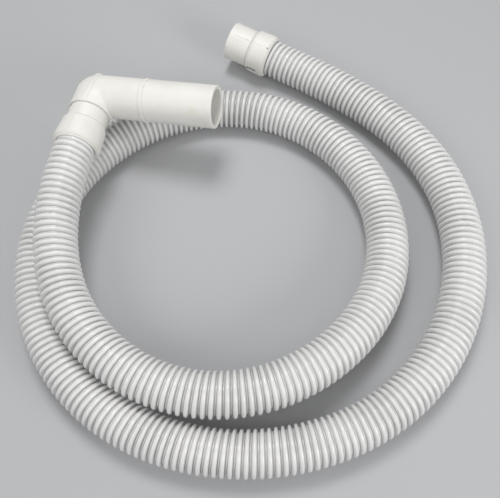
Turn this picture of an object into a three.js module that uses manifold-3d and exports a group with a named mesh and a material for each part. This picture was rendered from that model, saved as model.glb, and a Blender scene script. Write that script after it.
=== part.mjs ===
// Washing machine drain hose, laid in a loop and a half as it rests on a floor.
// Millimetres, +Z up. The floor is z = 0 and the origin is under the middle of the loop.
import * as THREE from 'three';
import { NURBSCurve } from 'three/addons/curves/NURBSCurve.js';
import { mergeVertices } from 'three/addons/utils/BufferGeometryUtils.js';
import Module from 'manifold-3d';

// Clearance between two pieces that seat in or on each other
const fitGap = 0.3;

// Flexible hose
const hoseDiameter = 34.5;
const hoseSides = 12;
const hoseSteps = 76;
const hoseEndDiameter = 33.4;
const hoseEndLength = 14;
const hoseEndRoot = 8;

// Straight cuff on the machine's end of the hose
const inletCollarDiameter = 40.4;
const inletShoulderDiameter = 39.2;
const inletCollarLength = 20;
const inletNoseDiameter = 35;
const inletNoseLength = 23;
const inletBoreDiameter = 28;
const inletBevelWidth = 2.1;
const inletBevelLength = 3;

// Cuff on the drain end, whose neck carries the elbow
const outletCollarDiameter = 40;
const outletShoulderDiameter = 37.5;
const outletCollarLength = 23;
const outletNeckDiameter = 33.3;
const outletNeckLength = 17;
const outletBoreDiameter = 27;
const outletBevelWidth = 1.2;
const outletBevelLength = 1.5;

// Slope from a collar down to its nose or neck, and the small bevel on a free edge
const shoulderSlope = 1.5;
const edgeBevel = 0.6;

// Elbow and spout, one moulding
const spoutDiameter = 35.9;
const spoutWall = 3.15;
const spoutLength = 109;
const spoutRise = THREE.MathUtils.degToRad(5);
const rimDiameter = 36.6;
const rimWidth = 2.5;
const neckInsertion = 4;
const elbowLegLength = 20.4;
const ringPosition = 46;
const ringWidth = 3.2;
const ringHeight = 0.8;
const ringBevel = 0.8;
const ringTailLength = 8;
const ringTailHeight = 0.45;
const gateDiameter = 9;
const gateHeight = 1.3;
const gateTilt = THREE.MathUtils.degToRad(25);
const ballInset = 0.15;

// Round pieces are turned with this many sides, and points closer than this are one point
const roundSides = 48;
const mergeDistance = 1e-4;

// Points that pull the hose's centreline into its loops, from the straight cuff to the elbow
const hoseRoute = [
  [-21.4, 178.3, 19.63], [-6.9, 174.5, 17.81], [22.7, 164.4, 17.25], [64.4, 146.4, 17.25],
  [115, 115.3, 17.25], [153.5, 70.5, 17.25], [173, 19, 17.25], [176.5, -34, 17.25],
  [165, -83.5, 17.25], [139.5, -126.5, 17.25], [101.5, -160.5, 17.25], [55, -183, 17.25],
  [3.5, -193.5, 17.25], [-48.5, -190, 17.25], [-96, -172, 17.25], [-135.5, -140.5, 17.25],
  [-163.5, -98.5, 17.25], [-176.9, -50.5, 17.25], [-173.5, -1.5, 17.25], [-153.5, 44, 17.25],
  [-120, 81.5, 17.25], [-77, 106.5, 17.25], [-28.5, 116.5, 17.25], [19, 109.5, 17.25],
  [62, 86.5, 17.25], [94.5, 51, 17.25], [112.5, 6.5, 18], [114, -42, 22],
  [97, -88.5, 28], [64.5, -127.5, 32.5], [20.5, -153, 34], [-30.5, -160, 35],
  [-81, -146.5, 37], [-124, -113.5, 41.5], [-152, -61, 48.6], [-156.3, -11.8, 56.4],
  [-156.15, 16.7, 56.3],
];

const hosePlastic = new THREE.MeshStandardMaterial({ color: 0xc6c8cc, roughness: 0.42, metalness: 0 });
const cuffPlastic = new THREE.MeshStandardMaterial({ color: 0xe4e2da, roughness: 0.5, metalness: 0 });
const spoutPlastic = new THREE.MeshStandardMaterial({ color: 0xe6e4dc, roughness: 0.5, metalness: 0 });

const wasm = await Module();
wasm.setup();

function toSolid(geometry) {
  const plain = geometry.clone();
  plain.deleteAttribute('normal');
  plain.deleteAttribute('uv');
  const merged = mergeVertices(plain, mergeDistance);
  return new wasm.Manifold(new wasm.Mesh({
    numProp: 3,
    vertProperties: merged.attributes.position.array,
    triVerts: merged.index.array,
  }));
}

function toGeometry(solid) {
  const mesh = solid.getMesh();
  const geometry = new THREE.BufferGeometry();
  geometry.setAttribute('position', new THREE.BufferAttribute(mesh.vertProperties, 3));
  geometry.setIndex(new THREE.BufferAttribute(mesh.triVerts, 1));
  geometry.computeVertexNormals();
  return geometry;
}

// A cubic spline through the loops, tangent to the first and last legs of the list
function splineThrough(points) {
  const degree = 3;
  const spans = points.length - degree;
  const knots = [];
  for (let i = 0; i <= degree; i += 1) knots.push(0);
  for (let i = 1; i < spans; i += 1) knots.push(i / spans);
  for (let i = 0; i <= degree; i += 1) knots.push(1);
  return new NURBSCurve(degree, knots, points.map(([x, y, z]) => new THREE.Vector4(x, y, z, 1)));
}

// Turns a closed outline of [radius, distance] points about an axis that starts at a point
function turned(outline, start, direction) {
  const points = outline.map(([radius, distance]) => new THREE.Vector2(radius, distance));
  const geometry = new THREE.LatheGeometry(points, roundSides);
  const turn = new THREE.Quaternion().setFromUnitVectors(new THREE.Vector3(0, 1, 0), direction);
  geometry.applyQuaternion(turn);
  geometry.translate(start.x, start.y, start.z);
  return geometry;
}

function cylinderBetween(radius, from, to, start, direction) {
  return turned([[0, from], [radius, from], [radius, to], [0, to]], start, direction);
}

// A cuff turned about its axis: a collar that takes the hose, then a narrower nose
function cuffOutline(size) {
  const socket = hoseEndDiameter / 2 + fitGap;
  const socketDepth = hoseEndLength + fitGap;
  const mouth = size.collarDiameter / 2;
  const shoulder = size.shoulderDiameter / 2;
  const nose = size.noseDiameter / 2;
  const bore = size.boreDiameter / 2;
  const end = size.collarLength + size.noseLength;
  return [
    [socket, 0],
    [mouth - size.bevelWidth, 0],
    [mouth, size.bevelLength],
    [shoulder, size.collarLength - shoulderSlope],
    [nose, size.collarLength],
    [nose, end - edgeBevel],
    [nose - edgeBevel, end],
    [bore, end],
    [bore, socketDepth],
    [socket, socketDepth],
    [socket, 0],
  ];
}

const route = splineThrough(hoseRoute);
const inletAxis = route.getTangent(0).negate();
const outletAxis = route.getTangent(1);
const inletMouth = route.getPoint(0).addScaledVector(inletAxis, fitGap);
const outletMouth = route.getPoint(1).addScaledVector(outletAxis, fitGap);

// The hose: a plain tube along its route, with a smooth end inside each cuff
function makeHose() {
  const cornerRadius = hoseDiameter / 2 / Math.cos(Math.PI / hoseSides);
  const section = new THREE.Shape();
  for (let i = 0; i < hoseSides; i += 1) {
    const angle = ((i + 0.5) / hoseSides) * 2 * Math.PI;
    const x = cornerRadius * Math.cos(angle);
    const y = cornerRadius * Math.sin(angle);
    if (i === 0) section.moveTo(x, y);
    else section.lineTo(x, y);
  }
  section.closePath();
  const run = new THREE.ExtrudeGeometry(section, { steps: hoseSteps, extrudePath: route });
  const endRadius = hoseEndDiameter / 2;
  const inletEnd = cylinderBetween(endRadius, -hoseEndRoot, hoseEndLength, route.getPoint(0), inletAxis);
  const outletEnd = cylinderBetween(endRadius, -hoseEndRoot, hoseEndLength, route.getPoint(1), outletAxis);
  return toGeometry(toSolid(run).add(toSolid(inletEnd)).add(toSolid(outletEnd)));
}

function makeInletCuff() {
  const outline = cuffOutline({
    collarDiameter: inletCollarDiameter,
    shoulderDiameter: inletShoulderDiameter,
    collarLength: inletCollarLength,
    noseDiameter: inletNoseDiameter,
    noseLength: inletNoseLength,
    boreDiameter: inletBoreDiameter,
    bevelWidth: inletBevelWidth,
    bevelLength: inletBevelLength,
  });
  return turned(outline, inletMouth, inletAxis);
}

function makeOutletCuff() {
  const outline = cuffOutline({
    collarDiameter: outletCollarDiameter,
    shoulderDiameter: outletShoulderDiameter,
    collarLength: outletCollarLength,
    noseDiameter: outletNeckDiameter,
    noseLength: outletNeckLength,
    boreDiameter: outletBoreDiameter,
    bevelWidth: outletBevelWidth,
    bevelLength: outletBevelLength,
  });
  return turned(outline, outletMouth, outletAxis);
}

// The elbow turns a right angle, so the spout's direction is squared to the neck's
function spoutDirection() {
  const wanted = new THREE.Vector3(Math.cos(spoutRise), 0, Math.sin(spoutRise));
  return wanted.addScaledVector(outletAxis, -wanted.dot(outletAxis)).normalize();
}

// The elbow and spout: a socket over the neck, a ball corner and a long arm with a raised ring
function makeElbowSpout() {
  const outer = spoutDiameter / 2;
  const bore = outer - spoutWall;
  const rim = rimDiameter / 2;
  const socket = outletNeckDiameter / 2 + fitGap;
  const neckEnd = outletCollarLength + outletNeckLength;
  const rimPlace = neckEnd - neckInsertion;
  const socketEnd = neckEnd + fitGap;
  const cornerPlace = rimPlace + elbowLegLength;
  const corner = outletMouth.clone().addScaledVector(outletAxis, cornerPlace);
  const arm = spoutDirection();

  const legOutline = [
    [0, rimPlace], [rim - edgeBevel, rimPlace], [rim, rimPlace + edgeBevel],
    [rim, rimPlace + rimWidth], [outer, rimPlace + rimWidth + edgeBevel],
    [outer, cornerPlace], [0, cornerPlace],
  ];
  const ringEnd = ringPosition + ringWidth;
  const armOutline = [
    [0, 0], [outer, 0], [outer, ringPosition],
    [outer + ringHeight, ringPosition + ringBevel],
    [outer + ringHeight, ringEnd - ringBevel],
    [outer + ringTailHeight, ringEnd],
    [outer, ringEnd + ringTailLength],
    [outer, spoutLength - edgeBevel],
    [outer - edgeBevel, spoutLength],
    [0, spoutLength],
  ];
  const ball = new THREE.SphereGeometry(outer - ballInset, roundSides, roundSides / 2);
  ball.translate(corner.x, corner.y, corner.z);
  const raised = outletAxis.clone().multiplyScalar(Math.cos(gateTilt));
  raised.addScaledVector(outletAxis.clone().cross(arm).negate(), Math.sin(gateTilt)).normalize();
  const gate = cylinderBetween(gateDiameter / 2, 0, outer + gateHeight, corner, raised);

  const ballBore = new THREE.SphereGeometry(bore - ballInset, roundSides, roundSides / 2);
  ballBore.translate(corner.x, corner.y, corner.z);
  const hollow = toSolid(cylinderBetween(bore, 0, spoutLength + edgeBevel, corner, arm))
    .add(toSolid(cylinderBetween(bore, rimPlace - fitGap, cornerPlace, outletMouth, outletAxis)))
    .add(toSolid(cylinderBetween(socket, rimPlace - fitGap, socketEnd, outletMouth, outletAxis)))
    .add(toSolid(ballBore));

  return toGeometry(
    toSolid(turned(armOutline, corner, arm))
      .add(toSolid(turned(legOutline, outletMouth, outletAxis)))
      .add(toSolid(ball))
      .add(toSolid(gate))
      .subtract(hollow),
  );
}

function namedMesh(name, geometry, material) {
  const mesh = new THREE.Mesh(geometry, material);
  mesh.name = name;
  return mesh;
}

const drainHose = new THREE.Group();
drainHose.add(namedMesh('hose', makeHose(), hosePlastic));
drainHose.add(namedMesh('inlet_cuff', makeInletCuff(), cuffPlastic));
drainHose.add(namedMesh('outlet_cuff', makeOutletCuff(), cuffPlastic));
drainHose.add(namedMesh('elbow_spout', makeElbowSpout(), spoutPlastic));

export default drainHose;
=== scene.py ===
# %% [markdown]
# A washing machine's drain hose, lying on a floor in a loop and a half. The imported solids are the
# frame: they say where every piece lies and how big it is. This script dresses them. Lengths are
# metres and +Z is up.

# %% Load the frame and keep its box
import math

import bmesh
import bpy
import numpy as np
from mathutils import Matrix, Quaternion, Vector


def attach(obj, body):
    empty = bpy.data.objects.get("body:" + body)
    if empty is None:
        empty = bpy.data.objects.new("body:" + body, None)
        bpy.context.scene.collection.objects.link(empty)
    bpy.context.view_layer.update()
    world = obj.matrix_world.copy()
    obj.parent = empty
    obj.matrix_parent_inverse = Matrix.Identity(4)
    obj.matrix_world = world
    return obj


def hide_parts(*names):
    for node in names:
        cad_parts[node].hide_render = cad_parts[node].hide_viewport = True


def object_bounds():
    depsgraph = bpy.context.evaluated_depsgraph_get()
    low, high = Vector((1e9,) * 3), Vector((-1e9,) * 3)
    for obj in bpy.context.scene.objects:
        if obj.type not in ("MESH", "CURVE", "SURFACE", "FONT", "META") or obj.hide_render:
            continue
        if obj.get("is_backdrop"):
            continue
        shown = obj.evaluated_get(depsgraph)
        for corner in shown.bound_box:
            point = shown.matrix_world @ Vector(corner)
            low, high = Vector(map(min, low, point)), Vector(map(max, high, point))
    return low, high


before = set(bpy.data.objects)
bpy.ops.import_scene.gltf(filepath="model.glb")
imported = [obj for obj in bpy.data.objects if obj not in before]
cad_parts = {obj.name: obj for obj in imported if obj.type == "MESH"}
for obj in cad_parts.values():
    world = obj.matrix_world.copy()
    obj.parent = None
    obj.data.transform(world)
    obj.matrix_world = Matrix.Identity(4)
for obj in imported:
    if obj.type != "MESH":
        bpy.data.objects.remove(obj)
solids_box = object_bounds()
MM = 0.001
print("solids from", [round(x, 4) for x in solids_box[0]], "to", [round(x, 4) for x in solids_box[1]])

# %% [markdown]
# The camera stands in front of the hose and looks steeply down, a little rolled, as a hand-held
# one does. It is placed by a point in the air, a point on the floor that it looks at, and the roll.
# The lens gives the field of view for a 36 mm wide sensor.

# %% Place the camera
CAMERA_PLACE = Vector((0.0594, -0.2352, 0.4551))
CAMERA_AIM = Vector((-0.0011, -0.0201, 0.0))
CAMERA_ROLL = math.radians(-4.09)
CAMERA_LENS = 42.34

camera = bpy.data.objects.new("camera", bpy.data.cameras.new("camera"))
bpy.context.scene.collection.objects.link(camera)
camera.data.sensor_width = 36
camera.data.lens = CAMERA_LENS
camera.data.clip_start = 0.01
camera.location = CAMERA_PLACE
camera.rotation_mode = "QUATERNION"
looking = (CAMERA_AIM - CAMERA_PLACE).to_track_quat("-Z", "Y")
camera.rotation_quaternion = looking @ Quaternion((0, 0, 1), CAMERA_ROLL)
bpy.context.scene.camera = camera
print("camera is", round((CAMERA_AIM - CAMERA_PLACE).length, 3), "m from the floor point it looks at")

# %% [markdown]
# The hose's route is the same list of points that the solids use, in millimetres here and turned
# into metres once. They aren't on the hose: they pull a cubic B-spline, which is smooth enough to
# bend like a stiff hose. Blender's own NURBS curves do this too, but here the ridges have to follow
# the line closely, so the spline is worked out in NumPy.

# %% The hose's route
HOSE_POINTS = [
    (-21.4, 178.3, 19.63), (-6.9, 174.5, 17.81), (22.7, 164.4, 17.25), (64.4, 146.4, 17.25),
    (115, 115.3, 17.25), (153.5, 70.5, 17.25), (173, 19, 17.25), (176.5, -34, 17.25),
    (165, -83.5, 17.25), (139.5, -126.5, 17.25), (101.5, -160.5, 17.25), (55, -183, 17.25),
    (3.5, -193.5, 17.25), (-48.5, -190, 17.25), (-96, -172, 17.25), (-135.5, -140.5, 17.25),
    (-163.5, -98.5, 17.25), (-176.9, -50.5, 17.25), (-173.5, -1.5, 17.25), (-153.5, 44, 17.25),
    (-120, 81.5, 17.25), (-77, 106.5, 17.25), (-28.5, 116.5, 17.25), (19, 109.5, 17.25),
    (62, 86.5, 17.25), (94.5, 51, 17.25), (112.5, 6.5, 18), (114, -42, 22),
    (97, -88.5, 28), (64.5, -127.5, 32.5), (20.5, -153, 34), (-30.5, -160, 35),
    (-81, -146.5, 37), (-124, -113.5, 41.5), (-152, -61, 48.6), (-156.3, -11.8, 56.4),
    (-156.15, 16.7, 56.3),
]
LINE_SAMPLES = 4001


def spline(points, count):
    """Points along the cubic B-spline that starts and ends on the first and last point."""
    points = np.array(points, float)
    spans = len(points) - 3
    knots = np.concatenate([np.zeros(3), np.linspace(0, 1, spans + 1), np.ones(3)])
    places = np.linspace(0, 1, count)
    places[-1] = 1 - 1e-9
    weight = ((knots[:-1] <= places[:, None]) & (places[:, None] < knots[1:])).astype(float)
    for degree in (1, 2, 3):
        rise = knots[degree:] - knots[:-degree]
        rise = np.where(rise > 0, rise, 1)
        climb = (places[:, None] - knots[:-degree]) / rise
        fall = (knots[degree + 1:] - places[:, None]) / rise[1:]
        weight = climb[:, :-1] * weight[:, :-1] + fall * weight[:, 1:]
    return weight @ points


HOSE_LINE = spline(HOSE_POINTS, LINE_SAMPLES) * MM
print("hose runs from", HOSE_LINE[0].round(4), "to", HOSE_LINE[-1].round(4))

# %% [markdown]
# A tube needs a direction to count its angle from at every point of its line. If that direction
# turned about the line, the ridges would wind too fast or too slowly. So each direction is the last
# one, squared to the new tangent: a frame that never twists. Each end runs on straight into its cuff.

# %% A frame along the hose that doesn't twist
HOSE_DIAMETER = 34.5 * MM
END_DIAMETER = 33.0 * MM
END_LENGTH = 14.0 * MM
END_STEPS = 8


def unit(v):
    return v / np.linalg.norm(v, axis=-1, keepdims=True)


class Line:
    """A line in space with its length, tangents and an untwisted side direction."""

    def __init__(self, points):
        self.points = points
        steps = np.linalg.norm(np.diff(points, axis=0), axis=1)
        self.at = np.concatenate([[0], np.cumsum(steps)])
        self.tangents = unit(np.gradient(points, self.at, axis=0))
        side = unit(np.cross(self.tangents[0], (0, 0, 1)))
        sides = []
        for tangent in self.tangents:
            side = unit(side - side @ tangent * tangent)
            sides.append(side)
        self.sides = np.array(sides)

    @property
    def length(self):
        return self.at[-1]

    def ring_points(self, along, angle, radius):
        """Points of the tube at these lengths along, angles round and radii from the line."""
        def between(values):
            return np.stack([np.interp(along, self.at, column) for column in values.T], -1)
        tangent = unit(between(self.tangents))
        side = unit(between(self.sides))
        other = np.cross(tangent, side)
        out = np.cos(angle)[..., None] * side + np.sin(angle)[..., None] * other
        return between(self.points) + radius[..., None] * out


first_leg = unit(HOSE_LINE[0] - HOSE_LINE[1])
last_leg = unit(HOSE_LINE[-1] - HOSE_LINE[-2])
reach = np.linspace(END_LENGTH, END_LENGTH / END_STEPS, END_STEPS)[:, None]
hose_line = Line(np.concatenate([HOSE_LINE[0] + reach * first_leg, HOSE_LINE,
                                 HOSE_LINE[-1] + reach[::-1] * last_leg]))
print("hose is", round(hose_line.length, 3), "m long, cuff to cuff and", END_LENGTH, "m in each")

# %% [markdown]
# The hose isn't a stack of rings. One ridge winds round it from end to end like a screw thread, and
# it winds to the left. Sampled straight along the hose, a slanting ridge would need a very fine
# mesh. Here the rows of the mesh follow the ridge instead: ten points across one turn draw the round
# crest and the groove with its two sharp corners, and a row is that outline carried a little on.

# %% Outline of one ridge and groove
RIDGE_PITCH = 5.26 * MM
GROOVE_DEPTH = 3.0 * MM
HOSE_SIDES = 26
# Near a cuff the crest widens by this share a turn, and the groove deepens from a share of its own
CREST_GROWTH = 2
GROOVE_AT_CUFF = 0.45
GROOVE_GROWTH = 0.8
GROOVE_LEAST = 0.3
# Share of the pitch, and share of the depth that it stands out there, from the groove's middle on
RIDGE_OUTLINE = [(0.0, 0.16), (0.17, 0.0), (0.2, 0.42), (0.245, 0.74), (0.34, 0.95),
                 (0.5, 1.0), (0.66, 0.95), (0.755, 0.74), (0.8, 0.42), (0.83, 0.0)]


def ridge_radius(along, height):
    """Radius of the skin. It narrows and goes smooth inside a cuff."""
    turns_out = (np.minimum(along, hose_line.length - along) - END_LENGTH) / RIDGE_PITCH
    widened = np.clip(CREST_GROWTH * turns_out, 0, 1)
    crest = END_DIAMETER / 2 + (HOSE_DIAMETER - END_DIAMETER) / 2 * widened
    depth = GROOVE_DEPTH * np.clip(GROOVE_AT_CUFF + GROOVE_GROWTH * turns_out, GROOVE_LEAST, 1)
    return crest - depth * (1 - height)


def new_mesh(name, points, faces, uvs=None):
    """A smooth mesh object from points, faces and a UV for each face corner."""
    mesh = bpy.data.meshes.new(name)
    mesh.from_pydata([tuple(p) for p in points], [], faces)
    mesh.shade_smooth()
    if uvs is not None:
        layer = mesh.uv_layers.new(name="round_and_along")
        layer.data.foreach_set("uv", np.array(uvs, np.float32).ravel())
    mesh.validate()
    piece = bpy.data.objects.new(name, mesh)
    bpy.context.scene.collection.objects.link(piece)
    return piece


# %% [markdown]
# The rows are numbered from the machine's end, and a full turn takes as many rows as the hose has
# sides. After that turn, a row starts where the outline of one turn before ends, so the two share a
# point and the skin has no seam. What is left is one stepped edge at each end of the hose.

# %% Wind the hose's skin
SKIN_MARGIN = 1 * MM


def wound_skin():
    """The outside of the hose: points, faces, heights on the ridge and both stepped edges."""
    turns = int((hose_line.length - 2 * SKIN_MARGIN) / RIDGE_PITCH) - 1
    first = (hose_line.length - (turns + 1) * RIDGE_PITCH) / 2
    steps = turns * HOSE_SIDES
    across, heights = np.array(RIDGE_OUTLINE).T
    count = len(across)
    step, point = np.meshgrid(np.arange(steps + 1), np.arange(count), indexing="ij")
    step = np.concatenate([step.ravel(), np.arange(steps + 1, steps + HOSE_SIDES + 1)])
    point = np.concatenate([point.ravel(), np.zeros(HOSE_SIDES, int)])
    along = first + RIDGE_PITCH * (step / HOSE_SIDES + across[point])
    angle = -2 * math.pi * step / HOSE_SIDES
    points = hose_line.ring_points(along, angle, ridge_radius(along, heights[point]))

    def index(h, i):
        if i < count and h <= steps:
            return h * count + i
        if i == count:
            return index(h + HOSE_SIDES, 0)
        return (steps + 1) * count + h - steps - 1

    def edge(h):
        once_round = [index(h + k, 0) for k in range(HOSE_SIDES + 1)]
        return once_round + [index(h, i) for i in range(count - 1, 0, -1)]

    faces = [(index(h, i), index(h + 1, i), index(h + 1, i + 1), index(h, i + 1))
             for h in range(steps) for i in range(count)]
    print("ridge winds", turns, "times, first row at", round(first, 4), "m")
    return points, faces, heights[point], edge(0), edge(steps)


skin_points, skin_faces, skin_heights, skin_start, skin_end = wound_skin()
print(len(skin_points), "points,", len(skin_faces), "faces on the outside")

# %% [markdown]
# A real hose is hollow, and someone may look into its open end through the cuff. So the skin gets
# an inside: a bore of plain rings, with ripples for a short way in from each end and long plain
# steps where nobody can see. Rings at both ends join the two skins into one closed body.

# %% Line the hose and close it
BORE_DIAMETER = 25.6 * MM
BORE_RIPPLE = 0.9 * MM
RIPPLED_LENGTH = 0.09
RINGS_A_RIPPLE = 4
PLAIN_RINGS = 84


def bore_rings():
    """Lengths along and radii of the rings that line the hose."""
    ripple_step = RIDGE_PITCH / RINGS_A_RIPPLE
    count = int(RIPPLED_LENGTH / ripple_step)
    near = np.arange(count) * ripple_step
    wave = BORE_DIAMETER / 2 - BORE_RIPPLE / 2 * (1 + np.cos(near / RIDGE_PITCH * 2 * math.pi))
    middle = np.linspace(near[-1], hose_line.length - near[-1], PLAIN_RINGS)[1:-1]
    along = np.concatenate([near, middle, hose_line.length - near[::-1]])
    radius = np.concatenate([wave, np.full(len(middle), BORE_DIAMETER / 2), wave[::-1]])
    return along, radius


def ring_faces(first, second):
    """Quads between two rings of the same number of points."""
    count = len(first)
    return [(first[i], first[(i + 1) % count], second[(i + 1) % count], second[i])
            for i in range(count)]


def edge_to_ring(edge, ring):
    """Faces from the wound skin's stepped edge to a flat ring."""
    sides = len(ring)
    faces = [(edge[i], edge[i + 1], ring[(i + 1) % sides], ring[i]) for i in range(sides)]
    return faces + [tuple(edge[sides:]) + (edge[0], ring[0])]


def hollow_hose():
    along, radius = bore_rings()
    along = np.concatenate([[0], along, [hose_line.length]])
    radius = np.concatenate([[END_DIAMETER / 2], radius, [END_DIAMETER / 2]])
    angle = -2 * math.pi * np.arange(HOSE_SIDES) / HOSE_SIDES
    grid = np.meshgrid(along, angle, indexing="ij")
    points = hose_line.ring_points(*grid, np.repeat(radius[:, None], HOSE_SIDES, axis=1))
    rings = np.arange(points.shape[0] * HOSE_SIDES).reshape(-1, HOSE_SIDES) + len(skin_points)
    faces = list(skin_faces)
    for first, second in zip(rings[:-1], rings[1:]):
        faces += ring_faces(first, second)
    faces += edge_to_ring(skin_start, rings[0])
    faces += edge_to_ring(skin_end, rings[-1])
    return np.concatenate([skin_points, points.reshape(-1, 3)]), faces


def face_out(piece):
    """Turns a closed body's faces outwards and says whether it is closed."""
    work = bmesh.new()
    work.from_mesh(piece.data)
    bmesh.ops.recalc_face_normals(work, faces=work.faces)
    open_edges = sum(1 for edge in work.edges if len(edge.link_faces) != 2)
    volume = work.calc_volume(signed=True)
    work.to_mesh(piece.data)
    work.free()
    triangles = sum(len(face.vertices) - 2 for face in piece.data.polygons)
    print(piece.name, "has", triangles, "triangles,", open_edges, "open edges and holds",
          round(volume * 1e6, 1), "cubic centimetres")


hose = new_mesh("corrugated_hose", *hollow_hose())
face_out(hose)
ridge = hose.data.attributes.new("ridge", "FLOAT", "POINT")
ridge.data.foreach_set("value", np.pad(skin_heights, (0, len(hose.data.vertices) - len(skin_heights))))
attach(hose, "root")
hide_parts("hose")

# %% [markdown]
# The hose's path is its line, taken at every eighth point and at the last. It leaves the machine's
# cuff and goes back into the object at the drain end's cuff. It is stiff and lies loose.

PATH_STEP = 8
hose_path = [tuple(p) for p in hose_line.points[::PATH_STEP]] + [tuple(hose_line.points[-1])]
tuple(HOSE_LINE[0])

# %% [markdown]
# Both cuffs are round, so each is an outline turned about its axis. A moulding has no sharp edges:
# every corner of the outline is given a small round, and long straight stretches are cut into short
# ones, so that smooth shading stays true. Blender's Screw modifier would turn the outline too; here
# the points are worked out directly, so that each face corner also gets its place round and along.

# %% Turn an outline about an axis
ROUND_SIDES = 96
ROUND_ANGLES = 2 * math.pi * np.arange(ROUND_SIDES) / ROUND_SIDES
CORNER_POINTS = 5
CORNER_SHARE = 0.45
LONGEST_STEP = 1.6 * MM


def rounded(outline):
    """A closed outline of (radius, along, round) corners in millimetres, as points in metres."""
    corners = np.array([corner[:2] for corner in outline], float) * MM
    path = []
    for i, corner in enumerate(corners):
        before, after = corners[i - 1] - corner, corners[(i + 1) % len(corners)] - corner
        longest = CORNER_SHARE * min(np.linalg.norm(before), np.linalg.norm(after))
        size = min(outline[i][2] * MM, longest)
        start, end = corner + unit(before) * size, corner + unit(after) * size
        for t in np.linspace(0, 1, CORNER_POINTS):
            path.append((1 - t) ** 2 * start + 2 * t * (1 - t) * corner + t ** 2 * end)
    points = []
    for start, end in zip(path, path[1:] + path[:1]):
        cuts = max(1, math.ceil(np.linalg.norm(end - start) / LONGEST_STEP))
        points += [start + (end - start) * k / cuts for k in range(cuts)]
    return np.array(points)


def closed_rings(places):
    """Faces and UVs of rings at these places along, the last of them joined to the first."""
    rings = np.arange(len(places) * ROUND_SIDES).reshape(-1, ROUND_SIDES)
    faces, uvs = [], []
    for k, low in enumerate(places):
        following = (k + 1) % len(places)
        high = places[following]
        faces += ring_faces(rings[k], rings[following])
        for i in range(ROUND_SIDES):
            here, there = i / ROUND_SIDES, (i + 1) / ROUND_SIDES
            uvs += [(here, low), (there, low), (there, high), (here, high)]
    return faces, uvs


def turned(name, outline, start, axis):
    """A closed round body, turned about the axis from the start point."""
    profile = rounded(outline)
    up = unit(np.array([0, 0, 1.0]) - axis[2] * axis)
    side = np.cross(axis, up)
    out = np.cos(ROUND_ANGLES)[:, None] * up + np.sin(ROUND_ANGLES)[:, None] * side
    points = start + profile[:, None, 1:] * axis + profile[:, None, :1] * out[None]
    piece = new_mesh(name, points.reshape(-1, 3), *closed_rings(profile[:, 1]))
    face_out(piece)
    return piece


# %% [markdown]
# The machine's cuff: a wide collar that the hose is glued into, then a narrower nose that goes on
# the drain spigot. The collar's mouth has a bevel with a fine step in it, a thin lip closes on the
# hose, and a fine groove runs where the shoulder meets the nose.

# %% The straight cuff
# In millimetres. The solids' hose has slightly wider ends, and the sockets are made for those.
FIT_GAP = 0.3
LIP_GAP = 0.1
SOLID_END_DIAMETER = 33.4
SOCKET = SOLID_END_DIAMETER / 2 + FIT_GAP
SOCKET_DEPTH = END_LENGTH / MM + FIT_GAP
LIP = END_DIAMETER / MM / 2 + LIP_GAP
NOSE_RADIUS = 17.5
NOSE_END = 43
INLET_BORE = 14
# Inside every cuff's mouth: the bore's inner end, the socket and the lip
MOUTH_INSIDE = [(SOCKET, SOCKET_DEPTH, 0.2), (SOCKET, 1.6, 0.1), (LIP, 1.2, 0.1)]
INLET_OUTLINE = [
    (LIP, 0, 0.2), (17.7, 0, 0.3), (18.8, 0.9, 0.3), (19.05, 1.1, 0.1), (19.9, 2.1, 0.3),
    (20.2, 3.2, 0.8), (19.65, 17.8, 1.0), (17.9, 20.0, 0.3), (16.8, 20.2, 0.1),
    (16.8, 20.4, 0.1), (NOSE_RADIUS, 20.7, 0.2), (NOSE_RADIUS, NOSE_END, 0.35),
    (INLET_BORE, NOSE_END, 0.9), (INLET_BORE, SOCKET_DEPTH, 0.3), *MOUTH_INSIDE,
]
INLET_MOUTH = HOSE_LINE[0] + FIT_GAP * MM * first_leg
inlet_cuff = turned("straight_cuff", INLET_OUTLINE, INLET_MOUTH, first_leg)
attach(inlet_cuff, "root")
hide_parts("inlet_cuff")

# %% [markdown]
# The drain end's cuff is the same idea with a softer collar, and fine rings round its mouth. Its
# neck goes four millimetres into the elbow, so only the middle of the neck shows.

# %% The drain end's cuff
NECK_RADIUS = 16.65
NECK_END = 40
OUTLET_BORE = 13.5
OUTLET_OUTLINE = [
    (LIP, 0, 0.2), (17.8, 0, 0.3), (18.4, 0.7, 0.2), (18.3, 1.0, 0.1), (19.2, 1.5, 0.2),
    (19.6, 2.3, 0.2), (19.4, 2.7, 0.1), (20.0, 3.3, 0.5), (18.8, 21.6, 0.6), (17.3, 22.6, 0.2),
    (15.8, 22.8, 0.1), (15.8, 23.1, 0.1), (NECK_RADIUS, 23.4, 0.2), (NECK_RADIUS, NECK_END, 0.4),
    (OUTLET_BORE, NECK_END, 0.4), (OUTLET_BORE, SOCKET_DEPTH, 0.3), *MOUTH_INSIDE,
]
OUTLET_MOUTH = HOSE_LINE[-1] + FIT_GAP * MM * last_leg
outlet_cuff = turned("drain_end_cuff", OUTLET_OUTLINE, OUTLET_MOUTH, last_leg)
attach(outlet_cuff, "root")
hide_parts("outlet_cuff")

# %% [markdown]
# The elbow and the spout are one moulding. Its rings run up the short leg, swing round the corner
# and run out along the arm, then come back inside as the bore. On the outer side of the corner the
# swing is a quarter of a ball. On top the leg runs into the arm in a soft bend, and on the inner side
# they meet in a sharp corner, where the rings bunch up. All come from one formula: a point that lies
# x towards the outer side swings about a centre that lies further past the corner the smaller x is.

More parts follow.
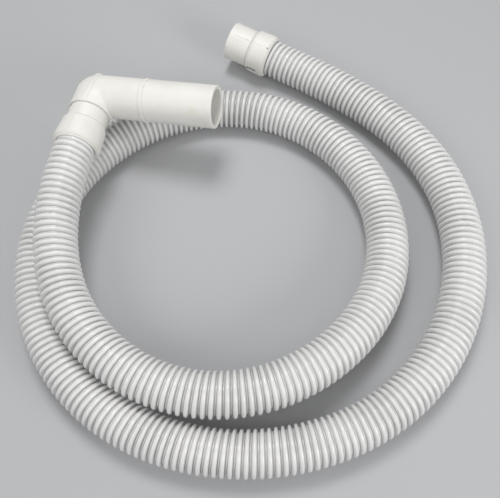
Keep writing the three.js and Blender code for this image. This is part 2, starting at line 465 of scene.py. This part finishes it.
# %% Rings of the elbow and spout
SPOUT_RADIUS = 17.95
SPOUT_WALL = 3.15
SPOUT_BORE = SPOUT_RADIUS - SPOUT_WALL
SPOUT_LENGTH = 109
SPOUT_RISE = math.radians(5)
LEG_LENGTH = 20.4
NECK_INSERTION = 4
CORNER_PLACE = NECK_END - NECK_INSERTION + LEG_LENGTH
NECK_SOCKET = NECK_RADIUS + FIT_GAP
NECK_STOP = NECK_INSERTION + FIT_GAP - LEG_LENGTH
RIM = 18.3
TOP_BEND = 9.0
BEND_BLEND = 3.0
SWING_STEPS = 24

# The leg's places are below zero and the arm's above it. The raised ring, with a fine step before
# it and a long tail behind it, lies 45 to 57 mm out on the arm.
ELBOW_OUTLINE = [
    (RIM, -LEG_LENGTH, 0.3), (RIM, -19.2, 0.5), (SPOUT_RADIUS, -16.6, 2.0),
    (SPOUT_RADIUS, 45.2, 0.15), (17.6, 45.5, 0.1), (18.75, 45.8, 0.25), (18.8, 48.7, 0.25),
    (17.6, 49.0, 0.1), (18.05, 49.4, 0.15), (17.97, 56.7, 2.0),
    (SPOUT_RADIUS, SPOUT_LENGTH, 1.1), (SPOUT_BORE, SPOUT_LENGTH, 1.2),
    (SPOUT_BORE, NECK_STOP, 0.2), (NECK_SOCKET, NECK_STOP, 0.2), (NECK_SOCKET, -LEG_LENGTH, 0.2),
]


def swing_centre(x, radius):
    """How far past the corner the centre of the swing lies, for a point x towards the outer side."""
    bend = TOP_BEND * MM * (1 + x / radius)
    past = bend - x
    return (past + np.sqrt(past ** 2 + (BEND_BLEND * MM * (1 + x / radius) / 2) ** 2)) / 2


def elbow_ring(radius, place, swing):
    """Points of one ring, as distances along the arm, along the leg and up."""
    x = radius * np.cos(ROUND_ANGLES)
    g = swing_centre(x, radius)
    if swing is not None:
        arm, leg = g - (x + g) * math.cos(swing), -g + (x + g) * math.sin(swing)
    elif place < 0:
        arm, leg = -x, np.minimum(place, -g)
    else:
        arm, leg = np.maximum(place, g), x
    return np.stack([arm, leg, radius * np.sin(ROUND_ANGLES)], -1)


def elbow_rings():
    """(radius, place, swing) for each ring: the swing is None on the leg and on the arm."""
    profile = [tuple(p) for p in rounded(ELBOW_OUTLINE)]
    rings = []
    for here, there in zip(profile, profile[1:] + profile[:1]):
        rings.append((here[0], here[1], None))
        if here[1] < 0 <= there[1]:
            rings += [(here[0], 0, a) for a in np.linspace(0, math.pi / 2, SWING_STEPS)]
        elif there[1] < 0 <= here[1]:
            rings += [(here[0], 0, a) for a in np.linspace(math.pi / 2, 0, SWING_STEPS)]
    return rings


# %% [markdown]
# The runner that fed the mould has left a round nub on the back of the corner, and there is a much
# smaller one beside it. Each is a push on the points near it, with a flat top and a soft edge.

# %% The elbow and spout
# How far each nub lies along the arm, how it tilts up from the back, its radius and its height
NUBS = [(-1.8, math.radians(25), 6.2, 2.1), (8.5, math.radians(30), 2.4, 0.5)]
NUB_FLAT = 0.2

arm_wish = np.array([math.cos(SPOUT_RISE), 0, math.sin(SPOUT_RISE)])
arm_way = unit(arm_wish - arm_wish @ last_leg * last_leg)
up_way = np.cross(arm_way, last_leg)
CORNER = OUTLET_MOUTH + CORNER_PLACE * MM * last_leg


def push_nub(points, along, tilt, radius, height):
    """The points, with those near the nub's place pushed out by up to its height."""
    raised = math.cos(tilt) * last_leg + math.sin(tilt) * up_way
    foot = CORNER + along * MM * arm_way
    away = np.linalg.norm(points - foot - SPOUT_RADIUS * MM * raised, axis=1) / (radius * MM)
    push = 0.5 + 0.5 * np.cos(math.pi * np.clip((away - NUB_FLAT) / (1 - NUB_FLAT), 0, 1))
    outside = np.linalg.norm(points - foot, axis=1) > (SPOUT_RADIUS - SPOUT_WALL / 2) * MM
    return points + (push * outside)[:, None] * height * MM * raised


def elbow_and_spout():
    """Points, faces and UVs of the whole moulding."""
    rings = elbow_rings()
    local = np.concatenate([elbow_ring(*ring) for ring in rings])
    points = CORNER + local @ np.array([arm_way, last_leg, up_way])
    for nub in NUBS:
        points = push_nub(points, *nub)
    return points, *closed_rings([place for _, place, _ in rings])


JOINED_WITHIN = 0.02 * MM
SHORTEST_EDGE = 0.01 * MM


def join_bunched(piece):
    """Joins the points that bunch up in the crease."""
    work = bmesh.new()
    work.from_mesh(piece.data)
    bmesh.ops.remove_doubles(work, verts=work.verts, dist=JOINED_WITHIN)
    bmesh.ops.dissolve_degenerate(work, edges=work.edges, dist=SHORTEST_EDGE)
    work.to_mesh(piece.data)
    work.free()


spout = new_mesh("elbow_and_spout", *elbow_and_spout())
join_bunched(spout)
face_out(spout)
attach(spout, "root")
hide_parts("elbow_spout")

# %% [markdown]
# Moulded plastic is never one flat colour. It is a little uneven over a few centimetres, and its skin
# has a very fine grain. All three finishes need that, so it is a shader node group, built once. It
# reads the place on the object, in metres, and puts out a colour, a mask and a height.

# %% Helpers for shader nodes
def add_node(tree, kind, links=None, **settings):
    """Adds a node, sets its named properties or inputs, and links its inputs."""
    node = tree.nodes.new(kind)
    for name, value in settings.items():
        if hasattr(node, name):
            setattr(node, name, value)
        else:
            node.inputs[name.replace("_", " ")].default_value = value
    for name, source in (links or {}).items():
        tree.links.new(source, node.inputs[name])
    return node


def calculate(tree, operation, *values, clamp=False):
    """A Math node on numbers or sockets, which gives its output."""
    node = add_node(tree, "ShaderNodeMath", operation=operation, use_clamp=clamp)
    for socket, value in zip(node.inputs, values):
        if isinstance(value, (int, float)):
            socket.default_value = value
        else:
            tree.links.new(value, socket)
    return node.outputs[0]


def mix_colours(tree, mask, first, second):
    """A mix of two colours by a mask, each a colour or a socket."""
    node = add_node(tree, "ShaderNodeMix", data_type="RGBA")
    for socket, value in ((node.inputs[0], mask), (node.inputs[6], first), (node.inputs[7], second)):
        if isinstance(value, (int, float, tuple)):
            socket.default_value = value
        else:
            tree.links.new(value, socket)
    return node.outputs[2]


def noise(tree, place, size, detail, roughness):
    """A noise whose patches are about this size in metres. Its Scale is how many fit in a metre."""
    scale = calculate(tree, "DIVIDE", 1.0, size)
    return add_node(tree, "ShaderNodeTexNoise", {"Vector": place, "Scale": scale},
                    Detail=detail, Roughness=roughness).outputs[0]


def ease(tree, value, low, high):
    """Goes smoothly from 0 where the value is at low to 1 where it is at high."""
    return add_node(tree, "ShaderNodeMapRange", {"Value": value}, interpolation_type="SMOOTHSTEP",
                    From_Min=low, From_Max=high).outputs[0]


# %% Helpers for node groups
def new_group(name, inputs, outputs):
    """An empty node group with named inputs and outputs."""
    tree = bpy.data.node_groups.new(name, "ShaderNodeTree")
    for label, kind, value in inputs:
        socket = tree.interface.new_socket(label, in_out="INPUT", socket_type="NodeSocket" + kind)
        socket.default_value = value
    for label, kind in outputs:
        tree.interface.new_socket(label, in_out="OUTPUT", socket_type="NodeSocket" + kind)
    print("group", name, "takes", [row[0] for row in inputs], "and gives", [row[0] for row in outputs])
    return tree, tree.nodes.new("NodeGroupInput").outputs, tree.nodes.new("NodeGroupOutput").inputs


def place_group(tree, group, **values):
    """Puts a node group into a material with its own values."""
    return add_node(tree, "ShaderNodeGroup", node_tree=group, **values).outputs


# %% Group: uneven moulded plastic
# Where on the noise a patch of the second colour begins, and where it is full
PATCH_BEGINS = 0.42
PATCH_FULL = 0.66


def moulded_group():
    """Colour, patches and grain of a moulded plastic."""
    tree, given, out = new_group(
        "moulded_plastic",
        [("Colour", "Color", (0.8, 0.8, 0.8, 1)), ("Uneven Colour", "Color", (0.7, 0.7, 0.7, 1)),
         ("Patch Size", "Float", 0.03), ("Grain Size", "Float", 0.0006)],
        [("Colour", "Color"), ("Patches", "Float"), ("Grain", "Float")])
    place = add_node(tree, "ShaderNodeTexCoord").outputs["Object"]
    broad = noise(tree, place, given["Patch Size"], detail=3.0, roughness=0.55)
    patches = ease(tree, broad, PATCH_BEGINS, PATCH_FULL)
    tree.links.new(mix_colours(tree, patches, given["Colour"], given["Uneven Colour"]), out["Colour"])
    tree.links.new(patches, out["Patches"])
    tree.links.new(noise(tree, place, given["Grain Size"], detail=2.0, roughness=0.6), out["Grain"])
    return tree


MOULDED = moulded_group()

# %% [markdown]
# Scuffs, pits and stains lie at one place each. A second group makes a soft blob round a point, with
# a ragged edge, and puts out how much of it there is. Its size may differ along the three axes.

# %% Group: a mark at one place
RAGGED_REACH = 4.0
SOLID_PART = 0.4


def mark_group():
    """A soft blob. How far a point is from its centre is counted in reaches."""
    tree, given, out = new_group(
        "mark_at_a_place",
        [("Centre", "Vector", (0, 0, 0)), ("Reach", "Vector", (0.01, 0.01, 0.01)),
         ("Ragged", "Float", 0.5), ("Fleck Size", "Float", 0.002)],
        [("Mask", "Float")])
    place = add_node(tree, "ShaderNodeTexCoord").outputs["Object"]
    away = add_node(tree, "ShaderNodeVectorMath", {0: place, 1: given["Centre"]},
                    operation="SUBTRACT").outputs[0]
    reaches = add_node(tree, "ShaderNodeVectorMath", {0: away, 1: given["Reach"]},
                       operation="DIVIDE").outputs[0]
    far = add_node(tree, "ShaderNodeVectorMath", {0: reaches}, operation="LENGTH").outputs["Value"]
    flecks = noise(tree, place, given["Fleck Size"], detail=3.0, roughness=0.6)
    shift = calculate(tree, "MULTIPLY", calculate(tree, "SUBTRACT", flecks, 0.5), given["Ragged"])
    edge = calculate(tree, "MULTIPLY_ADD", shift, RAGGED_REACH, far)
    tree.links.new(ease(tree, edge, 1.0, SOLID_PART), out["Mask"])
    return tree


MARK = mark_group()

# %% [markdown]
# Where the two halves of a mould met, a thin raised line runs along the moulding. The third group
# draws such a line from the UV map: U is how far round the point is and V how far along. It fades
# over a given length at both of its ends.

# %% Group: the line left by a mould
def seam_group():
    """A thin line along the moulding. Its width is a share of the way round."""
    tree, given, out = new_group(
        "mould_seam",
        [("Round", "Float", 0.0), ("Width", "Float", 0.004), ("From", "Float", 0.0),
         ("To", "Float", 0.04), ("Fade", "Float", 0.002)],
        [("Line", "Float")])
    uv = add_node(tree, "ShaderNodeUVMap", uv_map="round_and_along").outputs[0]
    split = add_node(tree, "ShaderNodeSeparateXYZ", {"Vector": uv}).outputs
    past = calculate(tree, "SUBTRACT", split["X"], given["Round"])
    wrapped = calculate(tree, "FRACT", calculate(tree, "ADD", past, 0.5))
    turn = calculate(tree, "SUBTRACT", wrapped, 0.5)
    near = calculate(tree, "DIVIDE", calculate(tree, "ABSOLUTE", turn), given["Width"])
    line = calculate(tree, "SUBTRACT", 1.0, near, clamp=True)
    after = calculate(tree, "SUBTRACT", split["Y"], given["From"])
    before = calculate(tree, "SUBTRACT", given["To"], split["Y"])
    inside = calculate(tree, "MINIMUM", after, before)
    end = calculate(tree, "DIVIDE", inside, given["Fade"], clamp=True)
    tree.links.new(calculate(tree, "MULTIPLY", line, end), out["Line"])
    return tree


SEAM = seam_group()

# %% [markdown]
# Each material starts in the same way: a Principled shader, a roughness that follows the grain a
# little, and a Bump node. What differs between the three plastics is written out in each one's own
# function.

# %% Start a material
def new_material(name, **settings):
    """A material with its Principled shader's constants set, its node tree and the shader."""
    material = bpy.data.materials.new(name)
    material.use_nodes = True
    tree = material.node_tree
    shader = tree.nodes["Principled BSDF"]
    for label, value in settings.items():
        shader.inputs[label.replace("_", " ")].default_value = value
    return material, tree, shader


def add_bump(tree, shader, height, distance):
    """Tilts the surface as if it rose by this distance, in metres, where the height is 1."""
    bump = add_node(tree, "ShaderNodeBump", {"Height": height}, Strength=1.0, Distance=distance)
    tree.links.new(bump.outputs[0], shader.inputs["Normal"])


def dress(piece, material):
    piece.data.materials.clear()
    piece.data.materials.append(material)
    print(piece.name, "wears", material.name, "with", len(material.node_tree.nodes), "nodes")


# %% [markdown]
# The hose is a light grey with a shine on each ridge. Shade is painted into the two corners of the
# groove: the ridge's height, which the mesh carries at each point, darkens and dulls the hose there.

# %% Hose plastic
HOSE_COLOUR = (0.80, 0.796, 0.789, 1)
HOSE_UNEVEN = (0.745, 0.742, 0.734, 1)
# Painted shade in the groove's corners: its dark colour, which the mould lines also use, how much of
# it there is at least and in patches, and the ridge height where it begins
SHADE_AND_SEAM_COLOUR = (0.29, 0.287, 0.282, 1)
GROOVE_SHADE_LEAST = 0.6
GROOVE_SHADE_IN_PATCHES = 0.3
GROOVE_SHADE_HEIGHT = 0.2
GROOVE_ROUGHNESS = 0.2
HOSE_ROUGHNESS = 0.15
HOSE_GRAIN_ROUGHNESS = 0.08
HOSE_GRAIN_HEIGHT = 0.03 * MM


def hose_plastic():
    material, tree, shader = new_material("hose_plastic", IOR=1.55)
    skin = place_group(tree, MOULDED, Colour=HOSE_COLOUR, Uneven_Colour=HOSE_UNEVEN,
                       Patch_Size=0.045, Grain_Size=0.0007)
    height = add_node(tree, "ShaderNodeAttribute", attribute_name="ridge").outputs["Fac"]
    # Painted shade: the colour darkens in the groove's corners, more in patches, and the hose is
    # duller there
    groove = ease(tree, height, GROOVE_SHADE_HEIGHT, 0.0)
    shade_amount = calculate(tree, "MULTIPLY_ADD", skin["Patches"], GROOVE_SHADE_IN_PATCHES, GROOVE_SHADE_LEAST)
    painted_shade = calculate(tree, "MULTIPLY", groove, shade_amount)
    tree.links.new(mix_colours(tree, painted_shade, skin["Colour"], SHADE_AND_SEAM_COLOUR), shader.inputs["Base Color"])
    dull = calculate(tree, "MULTIPLY_ADD", skin["Grain"], HOSE_GRAIN_ROUGHNESS, HOSE_ROUGHNESS)
    duller = calculate(tree, "MULTIPLY_ADD", groove, GROOVE_ROUGHNESS, dull)
    tree.links.new(duller, shader.inputs["Roughness"])
    add_bump(tree, shader, skin["Grain"], HOSE_GRAIN_HEIGHT)
    return material


dress(hose, hose_plastic())

# %% [markdown]
# The cuffs are a warm off-white. Each has a mould line along its top and another opposite. The
# straight one also has a small dark pit beside the mouth, a faint dash on its nose and dark scuffs
# low on its collar. Each mark is one more mix of the colour, with the mark's mask.

# %% Cuff plastic
CUFF_COLOUR = (0.82, 0.81, 0.765, 1)
CUFF_UNEVEN = (0.785, 0.775, 0.725, 1)
SCUFF_COLOUR = (0.08, 0.075, 0.07, 1)
SCUFF_FLECKS = 0.0012
SEAM_WIDTH = 0.0026
SEAM_START = 2 * MM
SEAM_FADE = 6 * MM
SEAM_SHADE = 0.3
CUFF_ROUGHNESS = 0.4
# Grain of the cuffs and of the spout: its share in the roughness and in the height
GRAIN_ROUGHNESS = 0.12
GRAIN_HEIGHT = 0.2
CUFF_BUMP = 0.12 * MM


def cuff_plastic(name, seam_round, seam_to, marks):
    material, tree, shader = new_material(name, IOR=1.48)
    skin = place_group(tree, MOULDED, Colour=CUFF_COLOUR, Uneven_Colour=CUFF_UNEVEN,
                       Patch_Size=0.02, Grain_Size=0.0005)
    colour = skin["Colour"]
    for centre, reach, ragged, strength in marks:
        spot = place_group(tree, MARK, Centre=centre, Reach=reach, Ragged=ragged,
                           Fleck_Size=SCUFF_FLECKS)["Mask"]
        colour = mix_colours(tree, calculate(tree, "MULTIPLY", spot, strength), colour, SCUFF_COLOUR)
    near, opposite = (place_group(tree, SEAM, Round=seam_round + half, Width=SEAM_WIDTH,
                                  From=SEAM_START, To=seam_to, Fade=SEAM_FADE)["Line"]
                      for half in (0, 0.5))
    seam = calculate(tree, "ADD", near, opposite)
    shade = calculate(tree, "MULTIPLY", seam, SEAM_SHADE)
    tree.links.new(mix_colours(tree, shade, colour, SHADE_AND_SEAM_COLOUR), shader.inputs["Base Color"])
    rough = calculate(tree, "MULTIPLY_ADD", skin["Grain"], GRAIN_ROUGHNESS, CUFF_ROUGHNESS)
    tree.links.new(rough, shader.inputs["Roughness"])
    height = calculate(tree, "MULTIPLY_ADD", skin["Grain"], GRAIN_HEIGHT, seam)
    add_bump(tree, shader, height, CUFF_BUMP)
    return material


# %% Dress the cuffs
# How far round from the top each mould line lies, as a share of a turn, and where it ends
INLET_SEAM = -20 / 360
INLET_SEAM_END = (NOSE_END - 2) * MM
OUTLET_SEAM = -7.5 / 360
OUTLET_SEAM_END = NECK_END * MM
# Centre and reach of each dark mark, how ragged its edge is and how strong it is
INLET_MARKS = [
    ((-0.0239, 0.1716, 0.0386), (0.0011, 0.0011, 0.0011), 0.2, 0.8),
    ((-0.0445, 0.1785, 0.0390), (0.0026, 0.0006, 0.0006), 0.1, 0.35),
    ((-0.0422, 0.1637, 0.0181), (0.0026, 0.003, 0.0018), 0.6, 0.95),
    ((-0.0391, 0.1626, 0.0188), (0.0018, 0.003, 0.0015), 0.5, 0.85),
    ((-0.0360, 0.1617, 0.0180), (0.0029, 0.003, 0.0017), 0.6, 0.95),
]
dress(inlet_cuff, cuff_plastic("straight_cuff_plastic", INLET_SEAM, INLET_SEAM_END, INLET_MARKS))
dress(outlet_cuff, cuff_plastic("drain_cuff_plastic", OUTLET_SEAM, OUTLET_SEAM_END, []))

# %% [markdown]
# The elbow and spout are the same off-white, moulded a little smoother. A double mould line climbs
# the top of the leg to the nub, there are shallow scratches low on the arm, and a faint yellow stain
# further out. The climbing lines don't follow the rings, so they are drawn as straight lines seen
# from above, and a mark's mask keeps them to the leg. The scratches are a noise stretched one way.

# %% A straight line seen from above
def straight_line(tree, place, start, end, width):
    """How much of a thin line there is at a place: the line is straight as seen from above."""
    way = (Vector(end) - Vector(start)).to_3d().normalized()
    away = add_node(tree, "ShaderNodeVectorMath", {0: place}, operation="SUBTRACT")
    away.inputs[1].default_value = Vector(start).to_3d()
    off = add_node(tree, "ShaderNodeVectorMath", {0: away.outputs[0]}, operation="DOT_PRODUCT")
    off.inputs[1].default_value = (way.y, -way.x, 0)
    near = calculate(tree, "DIVIDE", calculate(tree, "ABSOLUTE", off.outputs["Value"]), width)
    return calculate(tree, "SUBTRACT", 1.0, near, clamp=True)


# %% Spout plastic
SPOUT_COLOUR = (0.835, 0.825, 0.785, 1)
SPOUT_UNEVEN = (0.80, 0.79, 0.745, 1)
STAIN_COLOUR = (0.76, 0.72, 0.58, 1)
STAIN_STRENGTH = 0.38
SPOUT_ROUGHNESS = 0.46
SPOUT_BUMP = 0.14 * MM
# Start and end of each climbing line, and the centre and reach of what keeps them to the leg
LEG_LINES = [((-0.1582, 0.0666), (-0.1569, 0.0792)), ((-0.1541, 0.0591), (-0.1530, 0.0777))]
LEG_LINE_WIDTH = 0.5 * MM
LEG_LINE_SHADE = 0.22
LEG_LINE_HEIGHT = 0.6
CLIMB = {"Centre": (-0.1555, 0.0680, 0.0740), "Reach": (0.008, 0.018, 0.008)}
SCRATCHED = {"Centre": (-0.1223, 0.0564, 0.0652), "Reach": (0.0075, 0.006, 0.004)}
SCRATCH_TURN = (0.2, 0.3, 0.5)
SCRATCHES_A_METRE = (120, 900, 900)
SCRATCH_DEPTH = -0.7
STAINED = {"Centre": (-0.0645, 0.0585, 0.0748), "Reach": (0.0055, 0.005, 0.006)}


def spout_plastic():
    material, tree, shader = new_material("spout_plastic", IOR=1.48)
    skin = place_group(tree, MOULDED, Colour=SPOUT_COLOUR, Uneven_Colour=SPOUT_UNEVEN,
                       Patch_Size=0.025, Grain_Size=0.0006)
    stain = place_group(tree, MARK, Ragged=0.3, Fleck_Size=0.004, **STAINED)["Mask"]
    stained = calculate(tree, "MULTIPLY", stain, STAIN_STRENGTH)
    colour = mix_colours(tree, stained, skin["Colour"], STAIN_COLOUR)

    place = add_node(tree, "ShaderNodeTexCoord").outputs["Object"]
    climb = place_group(tree, MARK, Ragged=0.1, Fleck_Size=0.003, **CLIMB)["Mask"]
    first, second = (straight_line(tree, place, *ends, LEG_LINE_WIDTH) for ends in LEG_LINES)
    lines = calculate(tree, "MULTIPLY", climb, calculate(tree, "ADD", first, second))
    shade = calculate(tree, "MULTIPLY", lines, LEG_LINE_SHADE)
    tree.links.new(mix_colours(tree, shade, colour, SHADE_AND_SEAM_COLOUR), shader.inputs["Base Color"])
    rough = calculate(tree, "MULTIPLY_ADD", skin["Grain"], GRAIN_ROUGHNESS, SPOUT_ROUGHNESS)
    tree.links.new(rough, shader.inputs["Roughness"])

    patch = place_group(tree, MARK, Ragged=0.5, Fleck_Size=0.003, **SCRATCHED)["Mask"]
    along = add_node(tree, "ShaderNodeMapping", {"Vector": place}, Rotation=SCRATCH_TURN,
                     Scale=SCRATCHES_A_METRE).outputs[0]
    streaks = add_node(tree, "ShaderNodeTexNoise", {"Vector": along}, Scale=1.0, Detail=0.0)
    scratches = calculate(tree, "MULTIPLY", streaks.outputs[0], patch)
    raised = calculate(tree, "MULTIPLY", lines, LEG_LINE_HEIGHT)
    height = calculate(tree, "MULTIPLY_ADD", skin["Grain"], GRAIN_HEIGHT, raised)
    height = calculate(tree, "MULTIPLY_ADD", scratches, SCRATCH_DEPTH, height)
    add_bump(tree, shader, height, SPOUT_BUMP)
    return material


dress(spout, spout_plastic())

# %% [markdown]
# The stage is a plain pale floor, just under the lowest point of the solids. It is declared as
# stage, so that it is never taken for a piece of the hose.

# %% The floor
FLOOR_COLOUR = (0.47, 0.475, 0.485, 1)
FLOOR_ROUGHNESS = 0.75
FLOOR_REACH = 3.0
FLOOR_GAP = 0.2 * MM


def floor():
    corners = [(x * FLOOR_REACH, y * FLOOR_REACH, 0) for x, y in ((-1, -1), (1, -1), (1, 1), (-1, 1))]
    plate = new_mesh("floor", corners, [(0, 1, 2, 3)])
    plate.location.z = solids_box[0].z - FLOOR_GAP
    material, _, shader = new_material("floor_paint", Roughness=FLOOR_ROUGHNESS)
    shader.inputs["Base Color"].default_value = FLOOR_COLOUR
    dress(plate, material)
    plate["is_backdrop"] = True


floor()

# %% [markdown]
# The light is soft studio light: a large lamp high behind the hose, a wider one in front and to the
# left, a low one on the right that shines into the spout, and an even pale sky. They are set so that
# a colour renders about as it is written.

# %% Lamps and sky
# Place, size across in metres and power in watts of each lamp
LAMPS = {
    "top_lamp": ((-0.15, 0.4, 1.3), 0.5, 8.0),
    "front_lamp": ((-0.6, -0.8, 1.0), 0.8, 3.2),
    "side_lamp": ((1.0, -0.5, 0.55), 0.5, 5.0),
}
SKY_COLOUR = (0.98, 0.98, 0.98, 1)
SKY_STRENGTH = 0.43


def lamp(name, place, size, power):
    """A round lamp that looks at the middle of the floor."""
    light = bpy.data.lights.new(name, "AREA")
    light.shape = "DISK"
    light.size = size
    light.energy = power
    holder = bpy.data.objects.new(name, light)
    bpy.context.scene.collection.objects.link(holder)
    holder.location = place
    holder.rotation_mode = "QUATERNION"
    holder.rotation_quaternion = (-Vector(place)).to_track_quat("-Z", "Y")
    print(name, "shines with", power, "W from", place)


for lamp_name, lamp_values in LAMPS.items():
    lamp(lamp_name, *lamp_values)

world = bpy.data.worlds.new("sky")
world.use_nodes = True
world.node_tree.nodes["Background"].inputs["Color"].default_value = SKY_COLOUR
world.node_tree.nodes["Background"].inputs["Strength"].default_value = SKY_STRENGTH
bpy.context.scene.world = world
bpy.context.scene.view_settings.view_transform = "Standard"

# %% [markdown]
# The dressed hose has to stay the size of its solids. The box of what is shown is measured last
# and printed beside the box of the solids, so the two sizes stand side by side.

# %% Measure the size and finish
shown_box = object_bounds()
for name, box in (("solids", solids_box), ("shown", shown_box)):
    print(name, [round(x / MM, 1) for x in box[0]], [round(x / MM, 1) for x in box[1]], "mm")
